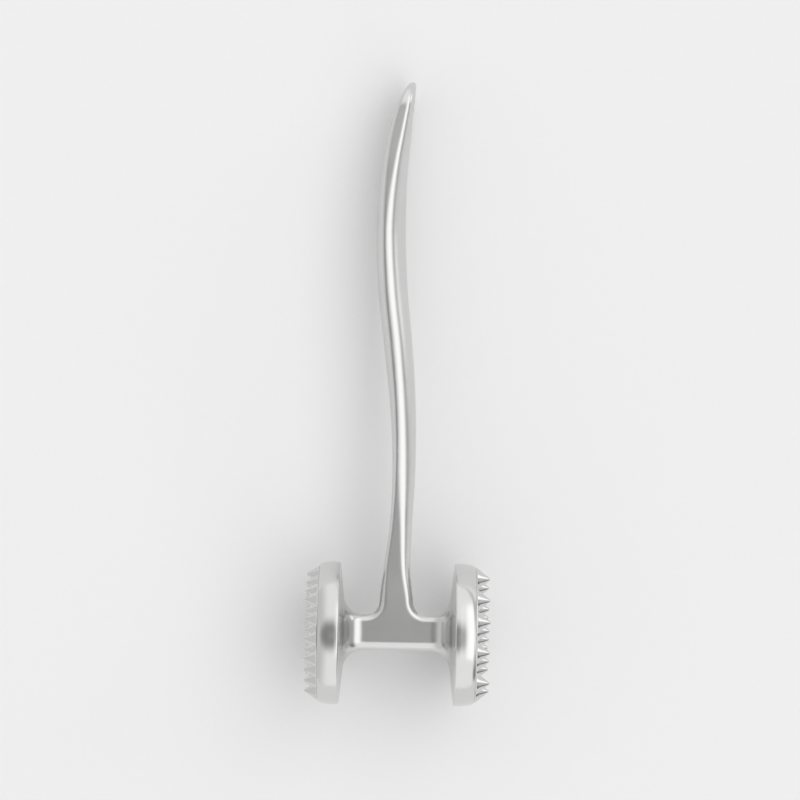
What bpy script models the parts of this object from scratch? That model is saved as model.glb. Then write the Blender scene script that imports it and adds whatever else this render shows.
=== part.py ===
"""Double-headed meat tenderiser mallet of polished stainless steel, lying on its side.

Tool frame: X along the head axis, Y along the handle, Z across the handle, origin at the middle of
the crossbar. Every piece is built there and hangs on one tilted guide, so that the tool lies on the
rims of both heads and on the end of its handle. World origin: under the middle of the whole tool,
on the surface that it lies on.
"""

from math import asin, cos, pi, sin, sqrt

import bmesh
import bpy
from mathutils import Vector

MM = 0.001

# Driving dimensions, in metres
GAP = 0.3 * MM                  # clearance between pieces that touch
HEAD_RADIUS = 27.5 * MM         # largest radius of a head
TOOTH_ROOT_X = 30.6 * MM        # face that the teeth stand on
BAR_HALF = 6.8 * MM             # half of the crossbar's height and depth
BAR_CORNER = 3.2 * MM           # rounding of the crossbar's long edges
BAR_RISE = 0.35 * MM            # the crossbar sits this far above the head axis, towards the handle
BAR_STRAIGHT_X = 13.7 * MM      # where the crossbar begins to flare
NECK_FILLET = 7.0 * MM
BACK_SLOPE = 0.107              # the back of a head leans outwards by this much for each unit of radius
HANDLE_FILLET = 5.0 * MM
END_CENTRE = 205.0 * MM         # centre of the handle's round end, above the crossbar
END_RADIUS = 11.0 * MM
HOLE_CENTRE = 208.6 * MM
HOLE_RADIUS = 3.4 * MM

# Flange of the casting, drum and toothed plate, outwards along the head axis
FLANGE_RADIUS = 24.0 * MM
FLANGE_X = 24.5 * MM            # face of the flange that seats in the drum
BACK_EDGE_RADIUS = 26.6 * MM    # where the drum's back rounds over into its rim
RECESS_X = 27.6 * MM
RECESS_RADIUS = 25.6 * MM
LIP_X = 30.2 * MM
HUB_HOLE_RADIUS = 6.3 * MM
PLATE_RADIUS = RECESS_RADIUS - GAP
BOSS_RADIUS = HUB_HOLE_RADIUS - GAP

# Fixing inside each head
STUD_RADIUS = 2.5 * MM
STUD_INNER_X = 9.6 * MM
STUD_OUTER_X = 29.2 * MM
WASHER_THICKNESS = 1.2 * MM
WASHER_INNER = 2.9 * MM
WASHER_OUTER = 5.2 * MM
PIN_RADIUS = 1.2 * MM
PIN_OFFSET = 12.0 * MM
PIN_INNER_X = 22.2 * MM
PIN_OUTER_X = 27.0 * MM
BOSS_X = FLANGE_X + GAP + WASHER_THICKNESS + GAP

# Hexagonal tooth patterns: tooth height, pitch, base radius, turn about the head axis, row shift in
# pitches, sides of a tooth
COARSE = {"height": 5.3 * MM, "pitch": 12.0 * MM, "base": 4.6 * MM, "turn": 0.27, "shift": 0.5, "sides": 11}
FINE = {"height": 4.8 * MM, "pitch": 7.5 * MM, "base": 3.3 * MM, "turn": 0.583, "shift": 0.0, "sides": 7}
PATTERN_RADIUS = 22.7 * MM

# Handle, in millimetres: height above the crossbar, sideways offset, thickness, width, then the
# rounding of the left and of the right long edges (across) and the depth of both roundings
HANDLE = (
    (0, -0.4, 13.4, 13.2, 3.2, 3.2, 3.2),
    (12, -0.4, 12.9, 13.0, 2.9, 3.0, 3.1),
    (24, -0.4, 10.5, 12.4, 1.5, 3.7, 3.6),
    (40, 0.7, 8.8, 12.2, 1.2, 4.9, 5.0),
    (63, 1.6, 8.9, 13.6, 1.6, 6.6, 6.3),
    (87, 0.9, 9.9, 16.4, 2.2, 7.2, 7.8),
    (110, -1.2, 11.0, 19.0, 2.8, 7.7, 9.0),
    (134, -3.9, 11.5, 21.2, 3.1, 7.9, 10.1),
    (158, -5.0, 11.3, 22.4, 3.1, 7.7, 10.6),
    (182, -4.0, 10.2, 22.5, 2.6, 5.6, 8.6),
    (197, -2.0, 8.6, 22.1, 2.0, 3.9, 5.6),
    (208, 0.2, 5.8, 22.0, 1.4, 2.5, 3.0),
    (216, 2.6, 2.8, 22.0, 1.0, 1.3, 1.6),
)

TIP_Y = END_CENTRE + END_RADIUS
TILT = asin((HEAD_RADIUS - END_RADIUS) / END_CENTRE)
TOOL_PLACE = Vector((
    (FINE["height"] - COARSE["height"]) / 2,
    (HEAD_RADIUS - TIP_Y * cos(TILT)) / 2,
    HEAD_RADIUS,
))

STEEL = (0.62, 0.62, 0.61, 1.0)
SPRING_STEEL = (0.42, 0.42, 0.43, 1.0)
HEAD_SIDES = 48
QUADRANT_POINTS = 10
CORNER_POINTS = 6


def clear_scene():
    for item in list(bpy.data.objects):
        bpy.data.objects.remove(item, do_unlink=True)


def make_material(name, colour, roughness):
    material = bpy.data.materials.new(name)
    material.use_nodes = True
    shader = material.node_tree.nodes["Principled BSDF"]
    shader.inputs["Base Color"].default_value = colour
    shader.inputs["Metallic"].default_value = 1.0
    shader.inputs["Roughness"].default_value = roughness
    return material


def finish(name, bm, guide, colour=STEEL, roughness=0.18):
    """Turn a bmesh into one smooth-shaded object that hangs on the guide."""
    bmesh.ops.recalc_face_normals(bm, faces=bm.faces)
    mesh = bpy.data.meshes.new(name)
    bm.to_mesh(mesh)
    bm.free()
    mesh.shade_smooth()
    mesh.set_sharp_from_angle(angle=0.6)
    mesh.materials.append(make_material(name, colour, roughness))
    item = bpy.data.objects.new(name, mesh)
    bpy.context.scene.collection.objects.link(item)
    item.parent = guide
    return item


def hide_tool(item):
    item.hide_render = True
    item.display_type = "WIRE"
    return item


def combine(item, tool, operation):
    """Boolean of an item with a hidden tool object."""
    modifier = item.modifiers.new(tool.name, "BOOLEAN")
    modifier.operation = operation
    modifier.solver = "EXACT"
    modifier.object = hide_tool(tool)


def add_loft(bm, rings):
    """Skin between rings of equal length, with a flat cap on both ends."""
    loops = [[bm.verts.new(point) for point in ring] for ring in rings]
    for low, high in zip(loops, loops[1:]):
        for index in range(len(low)):
            after = (index + 1) % len(low)
            bm.faces.new((low[index], low[after], high[after], high[index]))
    bm.faces.new(loops[0])
    bm.faces.new(loops[-1])


def circle(x, radius, sides, centre=(0.0, 0.0)):
    """Ring across the head axis."""
    steps = [2 * pi * index / sides for index in range(sides)]
    return [Vector((x, centre[0] + radius * cos(a), centre[1] + radius * sin(a))) for a in steps]


def turned(bm, profile, side, sides=HEAD_SIDES):
    """Closed ring turned about the head axis from a closed profile of (x, radius) points."""
    loops = []
    for x, radius in profile:
        loops.append([bm.verts.new(point) for point in circle(side * x, radius, sides)])
    for low, high in zip(loops, loops[1:] + loops[:1]):
        for index in range(sides):
            after = (index + 1) % sides
            bm.faces.new((low[index], low[after], high[after], high[index]))


def rod(name, start, stop, radius, sides, guide, centre=(0.0, 0.0), chamfer=0.0):
    """Plain round bar along the head axis, with optional chamfered ends."""
    bm = bmesh.new()
    inset = chamfer if stop > start else -chamfer
    rings = [circle(start, radius - chamfer, sides, centre)]
    if chamfer:
        rings.append(circle(start + inset, radius, sides, centre))
        rings.append(circle(stop - inset, radius, sides, centre))
    rings.append(circle(stop, radius - chamfer, sides, centre))
    add_loft(bm, rings)
    return finish(name, bm, guide, SPRING_STEEL, 0.3)


def smooth_between(table, height):
    """Smooth curve through the rows of a table, read at one height, in metres."""
    rows = [[value * MM for value in row] for row in table]
    index = max(i for i in range(len(rows) - 1) if i == 0 or rows[i][0] <= height)
    low = rows[index]
    high = rows[index + 1]
    before = rows[max(index - 1, 0)]
    after = rows[min(index + 2, len(rows) - 1)]
    span = high[0] - low[0]
    t = (height - low[0]) / span
    values = []
    for column in range(1, len(low)):
        slope_low = (high[column] - before[column]) / (high[0] - before[0]) * span
        slope_high = (after[column] - low[column]) / (after[0] - low[0]) * span
        values.append(
            (2 * t**3 - 3 * t**2 + 1) * low[column]
            + (t**3 - 2 * t**2 + t) * slope_low
            + (3 * t**2 - 2 * t**3) * high[column]
            + (t**3 - t**2) * slope_high
        )
    return values


def handle_ring(height):
    """Cross-section of the handle: four oval corners, of one size on the left and another on the right."""
    offset, thickness, width, left, right, depth = smooth_between(HANDLE, max(height, 0.0))
    half_thick = thickness / 2
    half_wide = width / 2
    above_bar = max(height - BAR_HALF, 0.0)
    if above_bar < HANDLE_FILLET:
        rest = HANDLE_FILLET - above_bar
        half_thick += HANDLE_FILLET - sqrt(HANDLE_FILLET**2 - rest**2)
    if height > END_CENTRE:
        half_wide = sqrt(END_RADIUS**2 - (height - END_CENTRE) ** 2)
    fit = min(1.0, 0.96 * thickness / (left + right))
    deep = min(depth, 0.96 * half_wide)
    ring = []
    for quadrant, (side, front) in enumerate(((1, 1), (-1, 1), (-1, -1), (1, -1))):
        round_x = (right if side > 0 else left) * fit
        for index in range(CORNER_POINTS):
            angle = (quadrant + index / (CORNER_POINTS - 1)) * pi / 2
            u = side * (half_thick - round_x) + round_x * cos(angle)
            w = front * (half_wide - deep) + deep * sin(angle)
            ring.append(Vector((offset + u, height, w)))
    return ring


def handle_blade(guide):
    """Curved handle blade, from inside the crossbar to the tip."""
    base = [4.0 * MM, BAR_HALF] + [BAR_HALF + step * MM for step in (0.5, 1.4, 2.8, 5.0)]
    blade = [(18 + 12.2 * step) * MM for step in range(15)]
    end = [END_CENTRE + step * MM for step in (-4.5, 0.0, 3.5, 6.5, 8.8, 10.2, 10.85)]
    bm = bmesh.new()
    add_loft(bm, [handle_ring(height) for height in base + blade + end])
    return finish("handle_blade_tool", bm, guide)


def bar_ring(x, half, morph):
    """Rounded square of the crossbar (morph 0), turning into a circle (morph 1)."""
    corner = BAR_CORNER + (half - BAR_CORNER) * morph
    margin = morph * pi / (4 * QUADRANT_POINTS)
    ring = []
    for quadrant in range(4):
        start = quadrant * pi / 2 + margin
        step = (pi / 2 - 2 * margin) / (QUADRANT_POINTS - 1)
        corner_angle = quadrant * pi / 2 + pi / 4
        centre_y = (half - corner) * (1 if cos(corner_angle) > 0 else -1) + BAR_RISE * (1 - morph)
        centre_z = (half - corner) * (1 if sin(corner_angle) > 0 else -1)
        for index in range(QUADRANT_POINTS):
            angle = start + step * index
            ring.append(Vector((x, centre_y + corner * cos(angle), centre_z + corner * sin(angle))))
    return ring


def back_face(radius):
    """Distance of a head's sloping back from the middle of the crossbar."""
    neck = BAR_HALF + NECK_FILLET
    return BAR_STRAIGHT_X + NECK_FILLET + (radius - neck) * BACK_SLOPE


def bar_half_rings(side):
    """Rings from the straight part of the crossbar out to the face of the flange."""
    rings = []
    steps = 6
    for index in range(steps + 1):
        turn = pi / 2 * index / steps
        x = BAR_STRAIGHT_X + NECK_FILLET * sin(turn)
        half = BAR_HALF + NECK_FILLET * (1 - cos(turn))
        morph = (index / steps) ** 2 * (3 - 2 * index / steps)
        rings.append(bar_ring(side * x, half, morph))
    rings.append(bar_ring(side * back_face(FLANGE_RADIUS), FLANGE_RADIUS, 1))
    rings.append(bar_ring(side * FLANGE_X, FLANGE_RADIUS, 1))
    return rings


def make_handle_frame(guide):
    """One casting: handle, crossbar and the two flanges, with the hanging hole and the bores."""
    bm = bmesh.new()
    add_loft(bm, bar_half_rings(-1)[::-1] + bar_half_rings(1))
    frame = finish("handle_frame", bm, guide)
    combine(frame, handle_blade(guide), "UNION")

    hole = rod("hanging_hole_tool", -15 * MM, 15 * MM, HOLE_RADIUS, 20, guide, (HOLE_CENTRE, 0.0))
    combine(frame, hole, "DIFFERENCE")
    for name, side in (("left", -1), ("right", 1)):
        start = side * (STUD_INNER_X - 2 * GAP)
        stop = side * (FLANGE_X + MM)
        bore = rod(name + "_bore_tool", start, stop, STUD_RADIUS + GAP, 16, guide)
        combine(frame, bore, "DIFFERENCE")
        start = side * (PIN_INNER_X - GAP)
        socket = rod(name + "_socket_tool", start, stop, PIN_RADIUS + GAP, 12, guide, (PIN_OFFSET, 0.0))
        combine(frame, socket, "DIFFERENCE")


def make_drum(name, side, guide):
    """Crowned rim with a web: seat for the flange behind, recess for the toothed plate in front."""
    seat = FLANGE_X + GAP
    inner = FLANGE_RADIUS + GAP
    back = back_face(BACK_EDGE_RADIUS)
    profile = (
        (back_face(inner), inner),
        (back, BACK_EDGE_RADIUS),
        (back + 0.3 * MM, HEAD_RADIUS - 0.25 * MM),
        (back + 1.0 * MM, HEAD_RADIUS),
        (back + 4.4 * MM, HEAD_RADIUS),
        (back + 6.4 * MM, HEAD_RADIUS - 0.4 * MM),
        (LIP_X, RECESS_RADIUS + 0.6 * MM),
        (LIP_X, RECESS_RADIUS),
        (RECESS_X, RECESS_RADIUS),
        (RECESS_X, HUB_HOLE_RADIUS),
        (seat, HUB_HOLE_RADIUS),
        (seat, inner),
    )
    bm = bmesh.new()
    turned(bm, profile, side)
    drum = finish(name, bm, guide)
    start = side * (seat - MM)
    stop = side * (PIN_OUTER_X + GAP)
    socket = rod(name + "_socket_tool", start, stop, PIN_RADIUS + GAP, 12, guide, (PIN_OFFSET, 0.0))
    combine(drum, socket, "DIFFERENCE")


def tooth_places(pattern):
    """Points of a turned hexagonal grid inside the pattern's circle."""
    places = []
    pitch = pattern["pitch"]
    for row in range(-4, 5):
        for column in range(-5, 6):
            across = row * pitch * sqrt(3) / 2
            along = (column + 0.5 * (row % 2) + pattern["shift"]) * pitch
            y = across * cos(pattern["turn"]) - along * sin(pattern["turn"])
            z = across * sin(pattern["turn"]) + along * cos(pattern["turn"])
            if sqrt(y * y + z * z) < PATTERN_RADIUS:
                places.append((y, -z))
    return places


def teeth(name, pattern, side, guide):
    """All teeth of one plate: round cones with blunt tips, sunk a little into the plate."""
    sunk = 0.5 * MM
    height = pattern["height"]
    outline = (
        (-sunk, pattern["base"] * (1 + sunk / height)),
        (height - 0.6 * MM, 0.95 * MM),
        (height, 0.35 * MM),
    )
    bm = bmesh.new()
    for place in tooth_places(pattern):
        rings = []
        for depth, radius in outline:
            rings.append(circle(side * (TOOTH_ROOT_X + depth), radius, pattern["sides"], place))
        add_loft(bm, rings)
    cones = finish(name, bm, guide)
    start = side * (TOOTH_ROOT_X - MM)
    stop = side * (TOOTH_ROOT_X + height + MM)
    edge = rod(name + "_edge", start, stop, PLATE_RADIUS - 0.4 * MM, HEAD_SIDES, guide)
    combine(cones, edge, "INTERSECT")
    return cones


def make_tooth_plate(name, pattern, side, guide):
    """Round plate with teeth in front and a threaded boss behind."""
    bm = bmesh.new()
    back = RECESS_X + GAP
    bore = STUD_RADIUS + GAP
    bore_end = STUD_OUTER_X + GAP
    outline = (
        (bore_end, bore),
        (BOSS_X, bore),
        (BOSS_X, BOSS_RADIUS),
        (back, BOSS_RADIUS),
        (back, PLATE_RADIUS),
        (TOOTH_ROOT_X - 0.5 * MM, PLATE_RADIUS),
        (TOOTH_ROOT_X, PLATE_RADIUS - 0.3 * MM),
    )
    add_loft(bm, [circle(side * x, radius, HEAD_SIDES) for x, radius in outline])
    plate = finish(name, bm, guide)
    combine(plate, teeth(name + "_teeth_tool", pattern, side, guide), "UNION")


def make_spring_washer(name, side, guide):
    """Split ring around the stud, between the flange and the boss."""
    near = side * (FLANGE_X + GAP)
    far = side * (FLANGE_X + GAP + WASHER_THICKNESS)
    corners = ((near, WASHER_INNER), (near, WASHER_OUTER), (far, WASHER_OUTER), (far, WASHER_INNER))
    split = 0.14
    steps = 20
    rings = []
    for index in range(steps + 1):
        angle = split + (2 * pi - 2 * split) * index / steps
        rings.append([Vector((x, radius * cos(angle), radius * sin(angle))) for x, radius in corners])
    bm = bmesh.new()
    add_loft(bm, rings)
    finish(name, bm, guide, SPRING_STEEL, 0.35)


def make_head(name, side, pattern, guide):
    """One head and its fixing, outwards from the crossbar."""
    rod(name + "_stud", side * STUD_INNER_X, side * STUD_OUTER_X, STUD_RADIUS, 16, guide,
        chamfer=0.5 * MM)
    rod(name + "_dowel_pin", side * PIN_INNER_X, side * PIN_OUTER_X, PIN_RADIUS, 12, guide,
        (PIN_OFFSET, 0.0), 0.25 * MM)
    make_spring_washer(name + "_spring_washer", side, guide)
    make_drum(name + "_drum", side, guide)
    make_tooth_plate(name + "_tooth_plate", pattern, side, guide)


def main():
    clear_scene()
    guide = bpy.data.objects.new("tool_guide", None)
    bpy.context.scene.collection.objects.link(guide)
    guide.location = TOOL_PLACE
    guide.rotation_euler = (-TILT, 0.0, 0.0)
    make_handle_frame(guide)
    make_head("left", -1, FINE, guide)
    make_head("right", 1, COARSE, guide)


main()
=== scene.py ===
"""Polished double-headed meat tenderiser mallet: its visible pieces, their finishes and the studio."""

from math import asin, atan, cos, pi, sin, sqrt

import bmesh
import bpy
import numpy as np
from bpy.props import FloatProperty, FloatVectorProperty, IntProperty, PointerProperty
from mathutils import Matrix, Vector


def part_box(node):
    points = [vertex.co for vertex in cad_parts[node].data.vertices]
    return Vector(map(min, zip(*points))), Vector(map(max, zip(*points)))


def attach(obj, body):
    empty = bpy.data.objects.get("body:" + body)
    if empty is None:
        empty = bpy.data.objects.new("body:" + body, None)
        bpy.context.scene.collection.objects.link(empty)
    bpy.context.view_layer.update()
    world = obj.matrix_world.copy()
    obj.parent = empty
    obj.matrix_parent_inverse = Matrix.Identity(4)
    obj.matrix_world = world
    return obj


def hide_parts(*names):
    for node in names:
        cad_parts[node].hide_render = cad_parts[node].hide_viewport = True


bl_info = {
    "name": "Meat Tenderiser Mallet",
    "version": (1, 0, 0),
    "blender": (4, 5, 0),
    "location": "View3D > Sidebar > Mallet",
    "description": "Builds the polished casting, drums and toothed plates of a tenderiser mallet",
    "category": "Object",
}

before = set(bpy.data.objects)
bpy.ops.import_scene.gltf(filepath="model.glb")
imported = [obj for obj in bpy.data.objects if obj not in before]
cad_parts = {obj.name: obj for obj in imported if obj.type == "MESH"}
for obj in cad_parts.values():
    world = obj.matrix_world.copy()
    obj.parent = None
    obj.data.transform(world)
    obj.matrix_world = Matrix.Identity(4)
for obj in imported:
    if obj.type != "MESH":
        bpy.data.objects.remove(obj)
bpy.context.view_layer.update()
MM = 0.001
BODY = "root"
SIDES = {"left": -1, "right": 1}

# How far a head's back leans outwards for each metre of radius
BACK_SLOPE = 0.107

# Sides of the turned pieces, and reach of the tooth patterns from the head axis
HEAD_SIDES = 192
PATTERN_REACH = 22.7 * MM

# Brightness of the whole studio, and of its softbox before that factor
STUDIO = 1.07
SOFTBOX = 1.38

# Camera above the head axis, width of its view there, and its roll in degrees
CAMERA_DISTANCE = 1.15
VIEW_WIDTH = 0.30984
ROLL = 1.05

# Hidden bores of the casting, in millimetres: start and end along the head axis, radius, distance
# above the axis; then the sides of the plug that fills it
BORES = ((8.5, 24.5, 3.4, 0.0, 16), (21.4, 24.5, 2.0, 12.0, 12))

# Rim of a drum, in millimetres: distance from its back edge, and drop below the largest radius
CROWN = (
    (0.0, 0.9),
    (0.12, 0.42),
    (0.45, 0.1),
    (1.1, 0.0),
    (3.2, 0.01),
    (4.5, 0.1),
    (5.8, 0.32),
    (7.0, 0.66),
    (8.05, 1.12),
)

# Outline of a tooth: share of its height, and share of the foot's radius there
TOOTH_OUTLINE = (
    (0.0, 1.0), (0.045, 0.925), (0.14, 0.845), (0.5, 0.515), (0.88, 0.175), (0.96, 0.105), (1.0, 0.02),
)

# Left tooth pattern, where it differs from the right one
FINE_TEETH = {
    "pitch": 7.5 * MM, "height": 4.8 * MM, "foot": 3.5 * MM, "turn": 0.583, "shift": 0.0, "sides": 28,
}

# Handle, in millimetres: height above the crossbar, sideways offset, thickness, width, then the
# rounding of the left and of the right long edges (across) and the depth of both roundings
HANDLE = (
    (0, -0.4, 13.4, 13.6, 2.8, 2.8, 2.8),
    (12, -0.4, 12.9, 13.5, 2.6, 2.8, 2.8),
    (24, -0.4, 10.5, 12.8, 1.4, 3.7, 3.4),
    (40, 0.7, 8.8, 12.4, 1.2, 4.9, 4.6),
    (63, 1.6, 8.9, 13.6, 1.6, 7.3, 6.2),
    (87, 0.9, 9.9, 16.4, 2.2, 7.7, 7.8),
    (110, -1.2, 11.0, 19.0, 2.8, 8.0, 9.0),
    (134, -3.9, 11.5, 21.2, 3.1, 8.3, 10.1),
    (158, -5.0, 11.3, 22.4, 3.1, 8.1, 10.9),
    (182, -4.0, 10.2, 22.5, 2.6, 5.6, 8.6),
    (197, -2.0, 8.6, 22.1, 2.0, 3.9, 5.6),
    (208, 0.2, 5.8, 22.0, 1.4, 2.5, 3.0),
    (216, 2.6, 2.8, 22.0, 1.0, 1.3, 1.6),
)


def length(name, description, millimetres):
    """Length property with its default given in millimetres."""
    return FloatProperty(
        name=name, description=description, default=millimetres * MM, unit="LENGTH", precision=5
    )


class MalletSizes(bpy.types.PropertyGroup):
    """Sizes of the mallet that a user may change."""

    head_radius: length("Head Radius", "Largest radius of a head", 27.5)
    bar_half: length("Bar Half", "Half of the crossbar's height and depth", 6.8)
    bar_under: length("Bar Under", "Rounding of the crossbar's long edges away from the handle", 4.0)
    bar_rise: length("Bar Rise", "Distance of the crossbar above the head axis", 0.35)
    neck_x: length("Neck", "Where the back of a head meets its neck", 20.7)
    neck_fillet: length("Neck Fillet", "Fillet between the crossbar and a head", 7.0)
    handle_fillet: length("Handle Fillet", "Fillet between the crossbar and the handle", 5.0)
    flange_radius: length("Flange Radius", "Radius of the casting's flange in a drum", 24.2)
    flange_x: length("Flange Face", "Face of the flange that seats in the drum", 24.5)
    end_centre: length("End Centre", "Centre of the handle's round end", 205.0)
    end_radius: length("End Radius", "Radius of the handle's round end", 11.0)
    hole_centre: length("Hole Centre", "Centre of the hanging hole above the crossbar", 208.6)
    hole_radius: length("Hole Radius", "Radius of the hanging hole", 3.4)
    tooth_root: length("Tooth Root", "Face that the teeth stand on", 30.6)
    cell: length("Cell", "Spacing of the points on the casting", 0.55)


class MalletTeeth(bpy.types.PropertyGroup):
    """One hexagonal tooth pattern."""

    pitch: length("Pitch", "Distance between neighbouring teeth", 12.0)
    height: length("Height", "Height of a tooth", 5.3)
    foot: length("Foot", "Radius of a tooth at its foot", 4.6)
    turn: FloatProperty(name="Turn", description="Turn about the head axis", default=0.27, unit="ROTATION")
    shift: FloatProperty(name="Shift", description="Shift of the rows, in pitches", default=0.5)
    sides: IntProperty(name="Sides", description="Sides of a tooth", default=36, min=8)


class MalletFinish(bpy.types.PropertyGroup):
    """Colours and gloss of the steel."""

    steel: FloatVectorProperty(
        name="Steel", description="Colour of the polished steel", subtype="COLOR", size=3,
        default=(0.68, 0.68, 0.675), min=0.0, max=1.0,
    )
    roughness: FloatProperty(
        name="Roughness", description="Roughness of the polished steel", subtype="FACTOR",
        default=0.16, min=0.0, max=1.0,
    )


# Mesh helpers


def tool_matrix(sizes):
    """Place of the tool frame: middle of the drums, tilted until the handle's end rests."""
    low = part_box("left_drum")[0]
    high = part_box("right_drum")[1]
    tilt = asin((sizes.head_radius - sizes.end_radius) / sizes.end_centre)
    place = (Vector(low) + Vector(high)) / 2
    return Matrix.Translation(place) @ Matrix.Rotation(-tilt, 4, "X")


def new_piece(name, mesh):
    piece = bpy.data.objects.new(name, mesh)
    bpy.context.scene.collection.objects.link(piece)
    return piece


def bm_piece(name, bm):
    """Object from a bmesh, with all faces turned outwards."""
    bmesh.ops.recalc_face_normals(bm, faces=bm.faces)
    mesh = bpy.data.meshes.new(name)
    bm.to_mesh(mesh)
    bm.free()
    return new_piece(name, mesh)


def bake_modifiers(piece):
    """Replace a piece's mesh by its evaluated one and drop its modifiers."""
    evaluated = piece.evaluated_get(bpy.context.evaluated_depsgraph_get())
    mesh = bpy.data.meshes.new_from_object(evaluated)
    piece.modifiers.clear()
    piece.data = mesh


def delete(piece):
    bpy.data.objects.remove(piece, do_unlink=True)


def place_piece(piece, sizes, sharp=0.7):
    """Move a piece's mesh from the tool frame to its place, smooth-shaded up to the sharp angle."""
    piece.data.transform(tool_matrix(sizes))
    piece.data.shade_smooth()
    piece.data.set_sharp_from_angle(angle=sharp)


def hand_over(piece, node):
    """Let a piece ride on the tool and stand for a CAD node."""
    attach(piece, BODY)
    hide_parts(node)


def circle(x, radius, sides, centre=(0.0, 0.0)):
    """Ring of points across the head axis."""
    steps = [2 * pi * index / sides for index in range(sides)]
    return [Vector((x, centre[0] + radius * cos(a), centre[1] + radius * sin(a))) for a in steps]


def add_turned(bm, profile, side, sides, centre=(0.0, 0.0), ring=True):
    """Solid turned about the head axis: a closed ring, or a rod closed at both ends."""
    loops = []
    for x, radius in profile:
        loops.append([bm.verts.new(point) for point in circle(side * x, radius, sides, centre)])
    pairs = list(zip(loops, loops[1:]))
    if ring:
        pairs.append((loops[-1], loops[0]))
    else:
        bm.faces.new(loops[0])
        bm.faces.new(loops[-1])
    for low, high in pairs:
        for index in range(sides):
            after = (index + 1) % sides
            bm.faces.new((low[index], low[after], high[after], high[index]))


def smooth_outline(points, count):
    """Smooth curve through points of an outline, by chord length."""
    points = np.array(points)
    chords = np.hypot(*np.diff(points, axis=0).T)
    knots = np.concatenate(([0.0], np.cumsum(chords)))
    wanted = np.linspace(0, knots[-1], count)
    columns = [hermite(knots, column, wanted) for column in points.T]
    return list(zip(*columns))


def hermite(knots, values, wanted):
    """Smooth curve through values at knots, read at the wanted places."""
    slopes = np.gradient(values, knots)
    index = np.clip(np.searchsorted(knots, wanted, side="right") - 1, 0, len(knots) - 2)
    span = knots[index + 1] - knots[index]
    t = np.clip((wanted - knots[index]) / span, 0, 1)
    start = (2 * t**3 - 3 * t**2 + 1) * values[index]
    start_slope = (t**3 - 2 * t**2 + t) * span * slopes[index]
    stop = (3 * t**2 - 2 * t**3) * values[index + 1]
    stop_slope = (t**3 - t**2) * span * slopes[index + 1]
    return start + start_slope + stop + stop_slope


# Casting: a distance field, and the points that are moved onto it


def round_union(a, b, radius):
    """Union of two distances with a round fillet between them."""
    u = np.maximum(radius - a, 0)
    v = np.maximum(radius - b, 0)
    return np.maximum(radius, np.minimum(a, b)) - np.hypot(u, v)


def round_common(a, b, radius):
    """Common part of two distances with a rounded edge."""
    u = np.maximum(radius + a, 0)
    v = np.maximum(radius + b, 0)
    return np.minimum(-radius, np.maximum(a, b)) + np.hypot(u, v)


def oval_corner(a, b, across, depth):
    """Common part of two distances with an oval edge, as wide and as deep as asked."""
    return round_common(a * depth / across, b, depth)


def back_face(sizes, radius):
    """Distance of a head's sloping back from the middle of the crossbar."""
    return sizes.neck_x + (radius - sizes.bar_half - sizes.neck_fillet) * BACK_SLOPE


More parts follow.
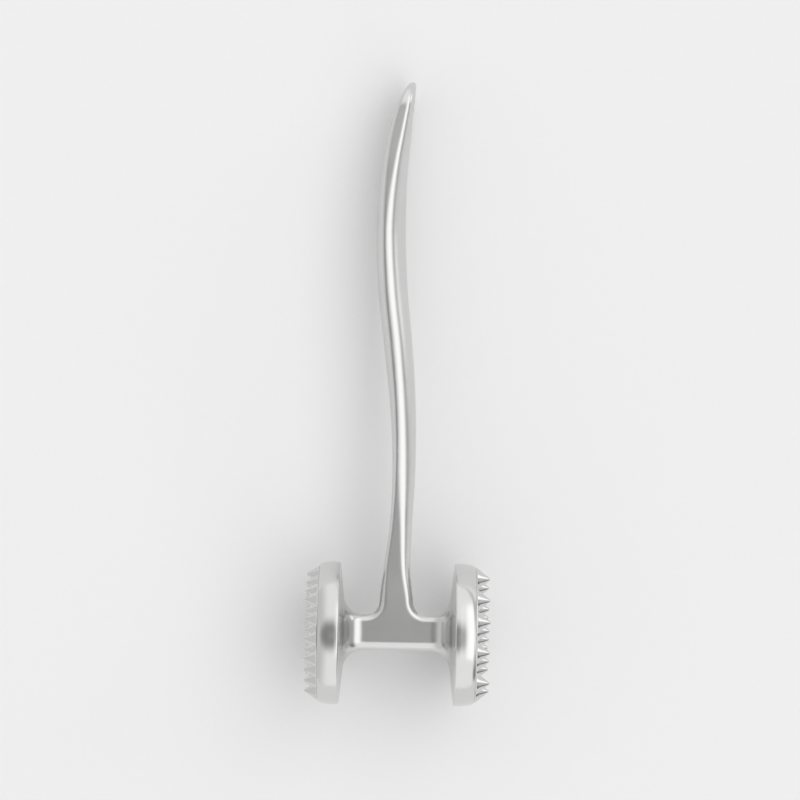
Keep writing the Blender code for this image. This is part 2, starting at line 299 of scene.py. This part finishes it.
class Casting:
    """Handle, crossbar and flanges as one distance field in the tool frame."""

    def __init__(self, sizes):
        self.sizes = sizes
        table = np.array(HANDLE) * MM
        self.knots = table[:, 0]
        self.columns = table[:, 1:].T

    def handle_curves(self, y):
        """Offset, half thickness, half width and roundings of the handle at heights y."""
        held = np.minimum(y, self.sizes.end_centre)
        offset = hermite(self.knots, self.columns[0], y)
        half_thick = hermite(self.knots, self.columns[1], y) / 2
        half_wide = hermite(self.knots, self.columns[2], held) / 2
        left, right, depth = (hermite(self.knots, column, y) for column in self.columns[3:])
        fit = np.minimum(1, 2 * half_thick / (left + right))
        return offset, half_thick, half_wide, left * fit, right * fit, np.minimum(depth, half_wide)

    def distance(self, points):
        """Distance of points from the surface, negative inside."""
        sizes = self.sizes
        x, y, z = points.T
        above = np.maximum(y, 0)
        offset, half_thick, half_wide, left, right, depth = self.handle_curves(above)
        u = x - offset
        lift = y - sizes.bar_rise

        crest = left - half_thick + np.maximum(half_thick - (left + right) / 2, 0)
        leftward = u < crest
        strip = np.maximum(np.where(leftward, -u, u) - half_thick, -y)
        outline = round_union(np.abs(lift) - sizes.bar_half, strip, sizes.handle_fillet)
        end = np.maximum(y - sizes.end_centre, 0)
        front = np.where(end > 0, np.hypot(z, end), np.abs(z)) - half_wide
        across = np.where(y < 0, sizes.bar_under, np.where(leftward, left, right))
        depth = np.where(y < 0, sizes.bar_under, depth)
        blade = oval_corner(outline, front, across, depth)

        r = np.hypot(y, z)
        flange = (back_face(sizes, r) - np.abs(x)) * cos(atan(BACK_SLOPE))
        flange = np.maximum(flange, r - sizes.flange_radius)
        whole = round_union(blade, flange, sizes.neck_fillet)
        return np.maximum(whole, np.abs(x) - sizes.flange_x)

    def gradient(self, points):
        """Slope of the distance field, by central differences."""
        step = 0.01 * MM
        parts = []
        for axis in range(3):
            shift = np.zeros(3)
            shift[axis] = step
            parts.append((self.distance(points + shift) - self.distance(points - shift)) / (2 * step))
        return np.stack(parts, axis=1)

    def onto_surface(self, points, rounds):
        """Move points along the slope onto the surface, a millimetre a round at most."""
        for _ in range(rounds):
            slope = self.gradient(points)
            steepness = np.maximum((slope * slope).sum(axis=1), 0.05)
            move = slope * (self.distance(points) / steepness)[:, None]
            reach = np.linalg.norm(move, axis=1, keepdims=True)
            move *= np.minimum(1, MM / np.maximum(reach, 1e-9))
            points = points - move
        return points

    def even_out(self, points, edges, rounds):
        """Slide points along the surface towards the middle of their neighbours."""
        share = 0.6
        count = len(points)
        ends = np.concatenate((edges[:, 0], edges[:, 1]))
        others = np.concatenate((edges[:, 1], edges[:, 0]))
        degree = np.maximum(np.bincount(ends, minlength=count), 1)[:, None]
        for _ in range(rounds):
            sums = [np.bincount(ends, points[others, axis], count) for axis in range(3)]
            pull = np.stack(sums, axis=1) / degree - points
            normal = self.gradient(points)
            normal /= np.maximum(np.linalg.norm(normal, axis=1, keepdims=True), 1e-9)
            pull -= normal * (pull * normal).sum(axis=1, keepdims=True)
            points = self.onto_surface(points + share * pull, 1)
        return points


def rough_casting(sizes):
    """Even mesh close to the casting: the solid with its bores plugged, remeshed."""
    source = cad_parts["handle_frame"].data
    bm = bmesh.new()
    bm.from_mesh(source)
    bmesh.ops.remove_doubles(bm, verts=bm.verts, dist=1e-6)
    bm.transform(tool_matrix(sizes).inverted())
    for side in SIDES.values():
        for start, end, radius, above, sides in BORES:
            plug = ((start * MM, radius * MM), (end * MM, radius * MM))
            add_turned(bm, plug, side, sides, (above * MM, 0.0), ring=False)
    plug = ((-1.6 * MM, 3.9 * MM), (1.8 * MM, 3.9 * MM))
    add_turned(bm, plug, 1, 24, (sizes.hole_centre, 0.0), ring=False)
    piece = bm_piece("casting", bm)
    remesh = piece.modifiers.new("even", "REMESH")
    remesh.mode = "VOXEL"
    remesh.voxel_size = sizes.cell
    bake_modifiers(piece)
    return piece


def cut_hanging_hole(piece, sizes):
    """Drill the hanging hole across the blade, with a shallow groove around it on both faces."""
    offset, half_thick = Casting(sizes).handle_curves(np.array([sizes.hole_centre]))[:2]
    radius = sizes.hole_radius
    groove = 0.9 * MM
    sunk = 0.15 * MM
    beyond = 4 * MM
    steps = [pi / 2 * index / 6 for index in range(6, -1, -1)]
    profile = []
    for side in (-1, 1):
        face = offset[0] + side * (half_thick[0] - sunk)
        branch = [(face - side * groove * cos(a), radius + groove * (1 - sin(a))) for a in steps]
        branch += [(face, radius + groove), (face + side * beyond, radius + groove)]
        profile = branch[::-1] if side < 0 else profile + branch
    bm = bmesh.new()
    add_turned(bm, profile, 1, 64, (sizes.hole_centre, 0.0), ring=False)
    drill = bm_piece("drill", bm)
    cut = piece.modifiers.new("hole", "BOOLEAN")
    cut.operation = "DIFFERENCE"
    cut.solver = "EXACT"
    cut.object = drill
    bake_modifiers(piece)
    delete(drill)


# Materials


class Socket:
    """Output socket of a node tree that takes part in Python expressions."""

    def __init__(self, build, socket):
        self.build = build
        self.socket = socket

    def __add__(self, other):
        return self.build.math("ADD", self, other)

    def __radd__(self, other):
        return self.build.math("ADD", other, self)

    def __sub__(self, other):
        return self.build.math("SUBTRACT", self, other)

    def __rsub__(self, other):
        return self.build.math("SUBTRACT", other, self)

    def __mul__(self, other):
        return self.build.math("MULTIPLY", self, other)

    def __rmul__(self, other):
        return self.build.math("MULTIPLY", other, self)

    def __truediv__(self, other):
        return self.build.math("DIVIDE", self, other)

    def __mod__(self, other):
        return self.build.math("FLOORED_MODULO", self, other)

    def __pow__(self, other):
        return self.build.math("POWER", self, other)


class Tree:
    """Builder of a node tree."""

    def __init__(self, tree):
        self.tree = tree

    def node(self, kind, output=0, settings=None, **inputs):
        """Any node: its settings first, then the values or links of its sockets."""
        node = self.tree.nodes.new(kind)
        for key, value in (settings or {}).items():
            setattr(node, key, value)
        for key, value in inputs.items():
            number = key[1:]
            name = int(number) if number.isdigit() else key.replace("_", " ")
            self.set(node.inputs[name], value)
        return Socket(self, node.outputs[output])

    def set(self, socket, value):
        """Link a socket to another one, or give it a value."""
        if isinstance(value, Socket):
            self.tree.links.new(value.socket, socket)
        else:
            socket.default_value = value

    def math(self, operation, *values):
        """Math node of one or two numbers or sockets."""
        node = self.tree.nodes.new("ShaderNodeMath")
        node.operation = operation
        for socket, value in zip(node.inputs, values):
            self.set(socket, value)
        return Socket(self, node.outputs[0])

    def mix(self, share, low, high):
        """Mix of two colours."""
        return self.node("ShaderNodeMix", 2, {"data_type": "RGBA"}, i0=share, i6=low, i7=high)

    def ramp(self, value, start, stop):
        """Smooth step from 0 at start to 1 at stop."""
        settings = {"interpolation_type": "SMOOTHSTEP"}
        return self.node("ShaderNodeMapRange", 0, settings, Value=value, From_Min=start, From_Max=stop)

    def noise(self, vector, scale, detail=2.0, roughness=0.5):
        """Noise between 0 and 1."""
        return self.node(
            "ShaderNodeTexNoise", Vector=vector, Scale=scale, Detail=detail, Roughness=roughness
        )


class Finish(Tree):
    """Builder of one material."""

    def __init__(self, name):
        self.material = bpy.data.materials.new(name)
        self.material.use_nodes = True
        super().__init__(self.material.node_tree)
        self.shader = self.tree.nodes["Principled BSDF"]

    def shade(self, name, value):
        """Set or link a socket of the shader."""
        self.set(self.shader.inputs[name], value)

    def tool_coordinates(self, sizes):
        """Object coordinates turned and moved into the tool frame."""
        matrix = tool_matrix(sizes)
        turn = matrix.to_euler()
        place = self.node("ShaderNodeTexCoord", 3)
        moved = self.node(
            "ShaderNodeMapping", 0, {"vector_type": "POINT"},
            Vector=place, Location=-matrix.translation,
        )
        return self.node(
            "ShaderNodeMapping", 0, {"vector_type": "POINT"},
            Vector=moved, Rotation=(-turn.x, 0.0, 0.0),
        )


def scaled(colour, share):
    """Colour with alpha, lighter or darker by a share."""
    return tuple(channel * share for channel in colour) + (1.0,)


def steel_finish(name, sizes, finish, stretch, extra=0.0):
    """Polished steel: faint clouding, polishing lines stretched by direction, soft waviness."""
    build = Finish(name)
    place = build.tool_coordinates(sizes)
    lines = build.node("ShaderNodeMapping", 0, {"vector_type": "POINT"}, Vector=place, Scale=stretch)
    clouds = build.noise(place, 90.0, 3.0)
    fine = build.noise(lines, 1.0, 4.0, 0.65)
    steel = tuple(finish.steel)
    tone = build.mix(clouds, scaled(steel, 0.97), scaled(steel, 1.03))
    build.shade("Base Color", tone)
    build.shade("Metallic", 1.0)
    build.shade("Roughness", finish.roughness + extra - 0.05 + 0.06 * clouds + 0.05 * fine)
    waves = build.noise(place, 45.0, 1.0)
    height = waves * 0.35 + fine * 0.02
    bump = build.node("ShaderNodeBump", Height=height, Strength=0.12, Distance=0.4 * MM)
    build.shade("Normal", bump)
    return build.material


# Operators


class MALLET_OT_casting(bpy.types.Operator):
    """Build the casting: handle, crossbar and flanges"""

    bl_idname = "mallet.casting"
    bl_label = "Casting"

    def execute(self, context):
        sizes = context.scene.mallet_sizes
        piece = rough_casting(sizes)
        mesh = piece.data
        points = np.empty(len(mesh.vertices) * 3)
        mesh.vertices.foreach_get("co", points)
        points = points.reshape(-1, 3)
        edges = np.empty(len(mesh.edges) * 2, dtype=np.int64)
        mesh.edges.foreach_get("vertices", edges)
        edges = edges.reshape(-1, 2)
        casting = Casting(sizes)
        points = casting.onto_surface(points, 6)
        points = casting.even_out(points, edges, 10)
        points = casting.onto_surface(points, 3)
        mesh.vertices.foreach_set("co", points.ravel())
        mesh.update()
        cut_hanging_hole(piece, sizes)
        place_piece(piece, sizes, 0.8)
        finish = context.scene.mallet_finish
        piece.data.materials.clear()
        piece.data.materials.append(steel_finish("handle_steel", sizes, finish, (900, 30, 900), 0.09))
        hand_over(piece, "handle_frame")
        return {"FINISHED"}


class MALLET_OT_drums(bpy.types.Operator):
    """Build the crowned drums of both heads"""

    bl_idname = "mallet.drums"
    bl_label = "Drums"

    def execute(self, context):
        sizes = context.scene.mallet_sizes
        steel = steel_finish("drum_steel", sizes, context.scene.mallet_finish, (700, 60, 60))
        radius = sizes.head_radius
        inner = sizes.flange_radius - 0.12 * MM
        edge = back_face(sizes, radius - CROWN[0][1] * MM)
        crown = [(edge + along * MM, radius - drop * MM) for along, drop in CROWN]
        lip = sizes.tooth_root - 0.36 * MM
        recess_floor = 27.6 * MM
        recess_radius = 25.6 * MM
        hub_radius = 6.3 * MM
        seat = 24.8 * MM
        profile = [(back_face(sizes, inner), inner)]
        profile += smooth_outline(crown, 36)
        profile += [(lip, radius - 1.4 * MM), (lip, recess_radius), (recess_floor, recess_radius)]
        profile += [(recess_floor, hub_radius), (seat, hub_radius), (seat, inner)]
        for name, side in SIDES.items():
            bm = bmesh.new()
            add_turned(bm, profile, side, HEAD_SIDES)
            drum = bm_piece(name + "_rim", bm)
            place_piece(drum, sizes, 0.6)
            drum.data.materials.append(steel)
            hand_over(drum, name + "_drum")
        return {"FINISHED"}


def tooth_tree(steel):
    """Node tree: a turned hexagonal grid of blunt flared cones, joined to the plate."""
    tree = bpy.data.node_groups.new("tooth_pattern", "GeometryNodeTree")
    numbers = ("Pitch", "Foot", "Turn", "Shift", "Root", "Height", "Reach", "Side")
    tree.interface.new_socket("Plate", in_out="INPUT", socket_type="NodeSocketGeometry")
    for name in numbers:
        tree.interface.new_socket(name, in_out="INPUT", socket_type="NodeSocketFloat")
    tree.interface.new_socket("Sides", in_out="INPUT", socket_type="NodeSocketInt")
    tree.interface.new_socket("Plate", in_out="OUTPUT", socket_type="NodeSocketGeometry")
    build = Tree(tree)
    group = tree.nodes.new("NodeGroupInput")
    given = {name: Socket(build, group.outputs[name]) for name in ("Plate", "Sides") + numbers}

    # Places of the teeth: every second row is shifted by half a pitch
    rows = 11
    middle = (rows - 1) / 2
    index = build.node("GeometryNodeInputIndex")
    row = build.math("FLOOR", index / rows) - middle
    column = index % rows - middle
    along = (column + (row % 2) * 0.5 + given["Shift"]) * given["Pitch"]
    across = row * (sqrt(3) / 2) * given["Pitch"]
    cosine = build.math("COSINE", given["Turn"])
    sine = build.math("SINE", given["Turn"])
    x = given["Root"] * given["Side"]
    y = across * cosine - along * sine
    z = (across * sine + along * cosine) * -1
    place = build.node("ShaderNodeCombineXYZ", X=x, Y=y, Z=z)
    distance = build.math("SQRT", y * y + z * z)
    inside = build.node(
        "FunctionNodeCompare", 0, {"operation": "LESS_THAN"}, i0=distance, i1=given["Reach"]
    )
    points = build.node("GeometryNodePoints", Count=rows * rows, Position=place)
    kept = build.node(
        "GeometryNodeSeparateGeometry", 0, {"domain": "POINT"}, Geometry=points, Selection=inside
    )

    # One tooth: a post whose girth follows the outline
    post = build.node(
        "GeometryNodeMeshCylinder", 0, {"fill_type": "TRIANGLE_FAN"},
        Vertices=given["Sides"], Side_Segments=22, Radius=1.0, Depth=given["Height"],
    )
    position = build.node("GeometryNodeInputPosition")
    sideways, forward, upward = (
        build.node("ShaderNodeSeparateXYZ", axis, Vector=position) for axis in range(3)
    )
    lift = upward / given["Height"] + 0.5
    outline = build.node("ShaderNodeFloatCurve", Value=lift)
    mapping = outline.socket.node.mapping
    curve = mapping.curves[0]
    while len(curve.points) < len(TOOTH_OUTLINE):
        curve.points.new(0.5, 0.5)
    for point, stop in zip(curve.points, TOOTH_OUTLINE):
        point.location = stop
    mapping.update()
    girth = outline * given["Foot"]
    moved = build.node(
        "ShaderNodeCombineXYZ", X=sideways * girth, Y=forward * girth, Z=lift * given["Height"]
    )
    tooth = build.node("GeometryNodeSetPosition", Geometry=post, Position=moved)
    smooth = build.node("GeometryNodeSetShadeSmooth", Geometry=tooth)
    turn = build.node("ShaderNodeCombineXYZ", Y=given["Side"] * (pi / 2))
    placed = build.node("GeometryNodeInstanceOnPoints", Points=kept, Instance=smooth, Rotation=turn)

    joined = build.node("GeometryNodeJoinGeometry", Geometry=placed)
    build.set(joined.socket.node.inputs[0], given["Plate"])
    real = build.node("GeometryNodeRealizeInstances", Geometry=joined)
    painted = build.node("GeometryNodeSetMaterial", Geometry=real, Material=steel)
    build.set(tree.nodes.new("NodeGroupOutput").inputs[0], painted)
    return tree


class MALLET_OT_plates(bpy.types.Operator):
    """Build the toothed plates: coarse teeth on the right, fine teeth on the left"""

    bl_idname = "mallet.plates"
    bl_label = "Toothed Plates"

    def execute(self, context):
        scene = context.scene
        sizes = scene.mallet_sizes
        steel = steel_finish("tooth_steel", sizes, scene.mallet_finish, (300, 300, 300))
        tree = tooth_tree(steel)
        root = sizes.tooth_root
        shoulder = root - 0.33 * MM
        edge = sizes.head_radius - 1.42 * MM
        boss_radius = 6.0 * MM
        back = 27.9 * MM
        back_radius = 25.5 * MM
        profile = (
            (26.3 * MM, boss_radius),
            (back, boss_radius),
            (back, back_radius),
            (shoulder, back_radius),
            (shoulder, edge),
            (root - 0.12 * MM, edge),
            (root - 0.03 * MM, edge - 0.06 * MM),
            (root, edge - 0.16 * MM),
            (root, edge - 0.3 * MM),
        )
        for name, side in SIDES.items():
            teeth = scene.mallet_coarse if name == "right" else scene.mallet_fine
            bm = bmesh.new()
            add_turned(bm, profile, side, HEAD_SIDES, ring=False)
            plate = bm_piece(name + "_toothed_face", bm)
            values = {
                "Pitch": teeth.pitch, "Foot": teeth.foot, "Turn": teeth.turn, "Shift": teeth.shift,
                "Root": root, "Height": teeth.height, "Reach": PATTERN_REACH,
                "Side": float(side), "Sides": teeth.sides,
            }
            modifier = plate.modifiers.new("teeth", "NODES")
            modifier.node_group = tree
            for socket in tree.interface.items_tree:
                if socket.in_out == "INPUT" and socket.name in values:
                    modifier[socket.identifier] = values[socket.name]
            bake_modifiers(plate)
            place_piece(plate, sizes, 0.7)
            hand_over(plate, name + "_tooth_plate")
        return {"FINISHED"}


class MALLET_OT_fixings(bpy.types.Operator):
    """Give the hidden studs, spring washers and dowel pins their finish"""

    bl_idname = "mallet.fixings"
    bl_label = "Fixings"

    def execute(self, context):
        sizes = context.scene.mallet_sizes
        steel = steel_finish("fixing_steel", sizes, context.scene.mallet_finish, (900, 200, 200))
        for name in SIDES:
            for part in ("_stud", "_spring_washer", "_dowel_pin"):
                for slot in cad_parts[name + part].material_slots:
                    slot.material = steel
        return {"FINISHED"}


def studio_world(scene):
    """Studio around the tool: grey overhead, pale all round, one large softbox on the right."""
    world = bpy.data.worlds.new("studio")
    world.use_nodes = True
    sky = Tree(world.node_tree)
    direction = sky.node("ShaderNodeTexCoord")
    x, y, z = (sky.node("ShaderNodeSeparateXYZ", axis, Vector=direction) for axis in range(3))
    zenith = sky.math("ARCCOSINE", z)
    rightward = sky.math("ARCTAN2", x, z)
    handleward = sky.math("ARCTAN2", y, z)

    def disc(place, inner, outer):
        """Round soft-edged patch of the sky around a direction, between two angles in degrees."""
        towards = tuple(Vector(place).normalized())
        dot = sky.node("ShaderNodeVectorMath", 1, {"operation": "DOT_PRODUCT"}, i0=direction, i1=towards)
        return sky.ramp(dot, cos(outer * pi / 180), cos(inner * pi / 180))

    # Walls, darker low on the left and low on the right
    light = 1.0 - 0.32 * sky.ramp(x * -1, 0.1, 0.6)
    light = light - 0.34 * sky.ramp(x, 0.55, 0.85)

    # Grey oval overhead, a little to the left, lighter in its middle
    across = (rightward + 0.18) * (1 / 0.6)
    along = handleward * (1 / 0.5)
    oval = (across * across + along * along) ** 0.5
    open_sky = sky.ramp(oval, 0.4, 1.2)
    ceiling = 0.28 + 0.12 * sky.ramp(zenith, 0.2, 0.04)
    light = ceiling + (light - ceiling) * open_sky

    # Softbox on the right, and a grey flag beyond it
    box = sky.ramp(rightward, 0.03, 0.5) * sky.ramp(rightward, 0.95, 0.82)
    box = box * sky.ramp(y, -0.62, -0.5) * sky.ramp(y, 0.86, 0.7)
    light = light + (SOFTBOX - light) * box
    flag = sky.ramp(rightward, 0.9, 1.02) * sky.ramp(rightward, 1.4, 1.15) * sky.ramp(y, -0.62, -0.5)
    light = light * (1 - 0.4 * flag)

    # Low on the right: a dark patch away from the handle, and a lamp towards it
    light = light * (1 - 0.8 * disc((0.8, -0.6, 0.08), 12, 24))
    light = light + 0.9 * disc((0.9, 0.4, 0.2), 8, 18)
    background = world.node_tree.nodes["Background"].inputs
    sky.set(background["Strength"], light * STUDIO)
    background["Color"].default_value = (1.0, 1.0, 1.0, 1.0)
    scene.world = world


class MALLET_OT_stage(bpy.types.Operator):
    """Build the floor, the studio and the camera"""

    bl_idname = "mallet.stage"
    bl_label = "Stage"

    def execute(self, context):
        scene = context.scene
        sizes = scene.mallet_sizes
        bm = bmesh.new()
        bmesh.ops.create_grid(bm, x_segments=2, y_segments=2, size=2.5)
        floor = bm_piece("floor", bm)
        build = Finish("floor_paper")
        grain = build.noise(build.node("ShaderNodeTexCoord", 3), 400.0)
        tone = build.mix(grain, (0.95, 0.95, 0.95, 1.0), (0.97, 0.97, 0.97, 1.0))
        build.shade("Base Color", tone)
        build.shade("Roughness", 0.9)
        build.shade("Specular IOR Level", 0.0)
        floor.data.materials.append(build.material)

        studio_world(scene)

        middle = tool_matrix(sizes).translation
        roll = ROLL * pi / 180
        right = Vector((cos(roll), sin(roll), 0))
        up = Vector((-sin(roll), cos(roll), 0))
        eye = middle + right * 1.28 * MM + up * 90.5 * MM
        camera = bpy.data.cameras.new("camera")
        camera.sensor_width = 36.0
        camera.lens = camera.sensor_width * CAMERA_DISTANCE / VIEW_WIDTH
        viewer = bpy.data.objects.new("camera", camera)
        viewer.location = (eye.x, eye.y, middle.z + CAMERA_DISTANCE)
        viewer.rotation_euler = (0.0, 0.0, roll)
        scene.collection.objects.link(viewer)
        scene.camera = viewer
        scene.view_settings.view_transform = "Standard"
        return {"FINISHED"}


class MALLET_PT_panel(bpy.types.Panel):
    """Steps and sizes of the mallet"""

    bl_idname = "MALLET_PT_panel"
    bl_label = "Mallet"
    bl_space_type = "VIEW_3D"
    bl_region_type = "UI"
    bl_category = "Mallet"

    def draw(self, context):
        for operator in OPERATORS:
            self.layout.operator(operator.bl_idname)
        for group in (context.scene.mallet_sizes, context.scene.mallet_finish):
            for name in group.__annotations__:
                self.layout.prop(group, name)


OPERATORS = (
    MALLET_OT_casting,
    MALLET_OT_drums,
    MALLET_OT_plates,
    MALLET_OT_fixings,
    MALLET_OT_stage,
)
CLASSES = (MalletSizes, MalletTeeth, MalletFinish) + OPERATORS + (MALLET_PT_panel,)


def register():
    for item in CLASSES:
        bpy.utils.register_class(item)
    scene_type = bpy.types.Scene
    scene_type.mallet_sizes = PointerProperty(type=MalletSizes)
    scene_type.mallet_coarse = PointerProperty(type=MalletTeeth)
    scene_type.mallet_fine = PointerProperty(type=MalletTeeth)
    scene_type.mallet_finish = PointerProperty(type=MalletFinish)


def unregister():
    scene_type = bpy.types.Scene
    del scene_type.mallet_finish
    del scene_type.mallet_fine
    del scene_type.mallet_coarse
    del scene_type.mallet_sizes
    for item in reversed(CLASSES):
        bpy.utils.unregister_class(item)


def main():
    register()
    for name, value in FINE_TEETH.items():
        setattr(bpy.context.scene.mallet_fine, name, value)
    for operator in OPERATORS:
        group, name = operator.bl_idname.split(".")
        getattr(getattr(bpy.ops, group), name)()


if __name__ == "__main__":
    main()
